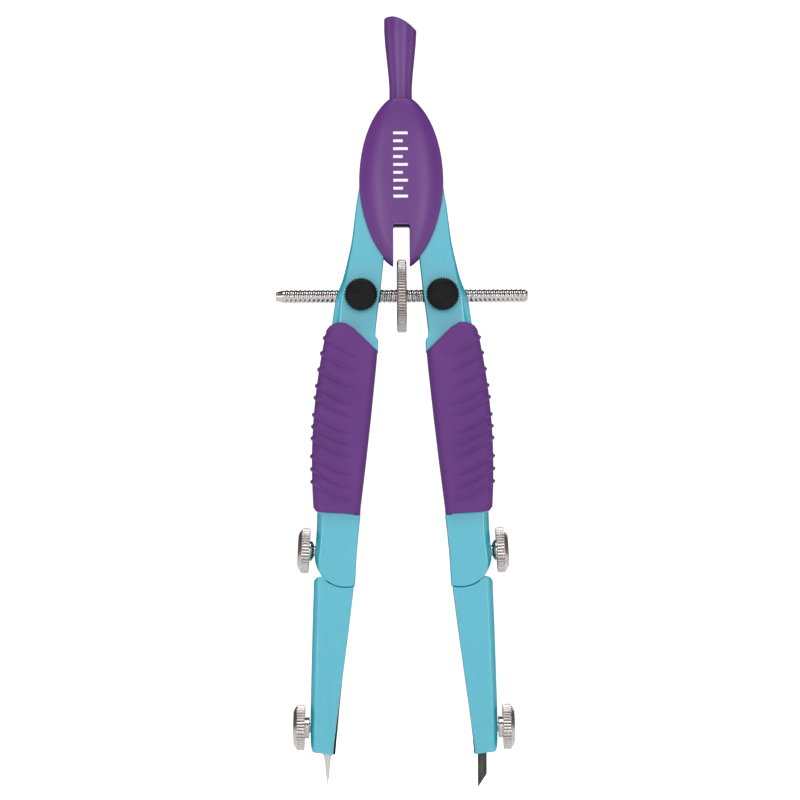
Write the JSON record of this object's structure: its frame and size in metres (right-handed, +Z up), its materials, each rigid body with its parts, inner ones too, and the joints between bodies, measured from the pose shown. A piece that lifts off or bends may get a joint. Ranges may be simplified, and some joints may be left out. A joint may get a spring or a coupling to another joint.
{
  "type": "drawing compass",
  "caption": "Quick-set bow compass with a slotted domed head, geared legs, a threaded spindle with a centre wheel, soft grips, hinged knees, a needle and a lead.",
  "frame": {"origin": "middle of the finger handle, 161 mm above the two tips, on the centre plane", "axes": "+Z up along the compass, from the tips to the handle; -Y towards the front; the needle leg on -X and the lead leg on +X"},
  "size_m": [0.0556, 0.0162, 0.17],
  "materials": {
    "violet_plastic": "satin moulded plastic",
    "soft_grip": "matt soft-touch rubber",
    "turquoise_lacquer": "metallic turquoise lacquer, fine flakes",
    "nickel": "bright nickel plate",
    "brass": "plain machined",
    "steel": "ground steel",
    "black_plastic": "satin black plastic",
    "graphite": "dull drawing lead"
  },
  "bodies": {
    "head": {"front_head_cover": "violet_plastic", "rear_head_cover": "violet_plastic", "handle": "violet_plastic", "left_pivot_screw": "nickel", "right_pivot_screw": "nickel"},
    "left_leg": {"left_upper_leg": "turquoise_lacquer", "left_grip": "soft_grip", "left_friction_washer": "brass", "left_knee_pin": "steel"},
    "left_shin": {"left_lower_leg": "turquoise_lacquer", "left_tip_insert": "black_plastic"},
    "left_knee_thumb": {"left_knee_screw": "nickel"},
    "left_clamp_thumb": {"left_clamp_screw": "nickel"},
    "left_swivel": {"left_trunnion": "brass", "left_back_cap": "black_plastic", "left_button_spring": "steel"},
    "left_button": {"left_release_button": "black_plastic", "left_half_nut": "brass"},
    "right_leg": {"right_upper_leg": "turquoise_lacquer", "right_grip": "soft_grip", "right_friction_washer": "brass", "right_knee_pin": "steel"},
    "right_shin": {"right_lower_leg": "turquoise_lacquer", "right_tip_insert": "black_plastic"},
    "right_knee_thumb": {"right_knee_screw": "nickel"},
    "right_clamp_thumb": {"right_clamp_screw": "nickel"},
    "right_swivel": {"right_trunnion": "brass", "right_back_cap": "black_plastic", "right_button_spring": "steel"},
    "right_button": {"right_release_button": "black_plastic", "right_half_nut": "brass"},
    "spindle_rod": {"spindle": "nickel"},
    "wheel": {"centre_wheel": "nickel"},
    "needle_rod": {"needle": "steel"},
    "lead_rod": {"lead": "graphite"}
  },
  "joints": [
    {"name": "left_leg_swing", "type": "hinge", "parent": "head", "child": "left_leg", "pos_m": [-0.004, 0, -0.0268], "axis": [0, 1, 0], "range_deg": [-6, 32]},
    {"name": "right_leg_swing", "type": "hinge", "parent": "head", "child": "right_leg", "pos_m": [0.004, 0, -0.0268], "axis": [0, 1, 0], "range_deg": [-32, 6]},
    {"name": "left_nut_turn", "type": "hinge", "parent": "left_leg", "child": "left_swivel", "pos_m": [-0.00898, 0, -0.0529], "axis": [0, 1, 0], "range_deg": [-32, 6]},
    {"name": "right_nut_turn", "type": "hinge", "parent": "right_leg", "child": "right_swivel", "pos_m": [0.00898, 0, -0.0529], "axis": [0, 1, 0], "range_deg": [-6, 32]},
    {"name": "spindle_shift", "type": "slide", "parent": "left_swivel", "child": "spindle_rod", "axis": [1, 0, 0], "range_m": [-0.0026, 0.0135]},
    {"name": "wheel_spin", "type": "hinge", "parent": "spindle_rod", "child": "wheel", "pos_m": [0, 0, -0.0529], "axis": [1, 0, 0], "continuous": true},
    {"name": "left_button_press", "type": "slide", "parent": "left_swivel", "child": "left_button", "axis": [0, 1, 0], "range_m": [0, 0.001], "stiffness_N_per_m": 800, "springref_m": -0.001, "deforming": ["left_button_spring"]},
    {"name": "right_button_press", "type": "slide", "parent": "right_swivel", "child": "right_button", "axis": [0, 1, 0], "range_m": [0, 0.001], "stiffness_N_per_m": 800, "springref_m": -0.001, "deforming": ["right_button_spring"]},
    {"name": "left_knee_bend", "type": "hinge", "parent": "left_leg", "child": "left_shin", "pos_m": [-0.0126, 0, -0.1103], "axis": [0, -1, 0], "range_deg": [0, 35]},
    {"name": "right_knee_bend", "type": "hinge", "parent": "right_leg", "child": "right_shin", "pos_m": [0.0126, 0, -0.1103], "axis": [0, 1, 0], "range_deg": [0, 35]},
    {"name": "left_knee_screw_turn", "type": "hinge", "parent": "left_leg", "child": "left_knee_thumb", "pos_m": [-0.0194, 0, -0.10915], "axis": [-0.9986, 0, 0.0523], "range_deg": [0, 360]},
    {"name": "right_knee_screw_turn", "type": "hinge", "parent": "right_leg", "child": "right_knee_thumb", "pos_m": [0.0194, 0, -0.10915], "axis": [0.9986, 0, 0.0523], "range_deg": [0, 360]},
    {"name": "left_clamp_screw_turn", "type": "hinge", "parent": "left_shin", "child": "left_clamp_thumb", "pos_m": [-0.0205, 0, -0.1479], "axis": [-0.9998, 0, 0.0209], "range_deg": [0, 360]},
    {"name": "right_clamp_screw_turn", "type": "hinge", "parent": "right_shin", "child": "right_clamp_thumb", "pos_m": [0.0205, 0, -0.1479], "axis": [0.9998, 0, 0.0209], "range_deg": [0, 360]},
    {"name": "needle_slide", "type": "slide", "parent": "left_shin", "child": "needle_rod", "axis": [0, 0, -1], "range_m": [0, 0.008]},
    {"name": "lead_slide", "type": "slide", "parent": "right_shin", "child": "lead_rod", "axis": [0, 0, -1], "range_m": [0, 0.008]}
  ],
  "couplings": [
    {"joint": "right_leg_swing", "follows": "left_leg_swing", "ratio": -1},
    {"joint": "left_nut_turn", "follows": "left_leg_swing", "ratio": -1},
    {"joint": "right_nut_turn", "follows": "left_leg_swing", "ratio": 1},
    {"joint": "spindle_shift", "follows": "left_leg_swing", "m_per_rad": 0.024}
  ]
}
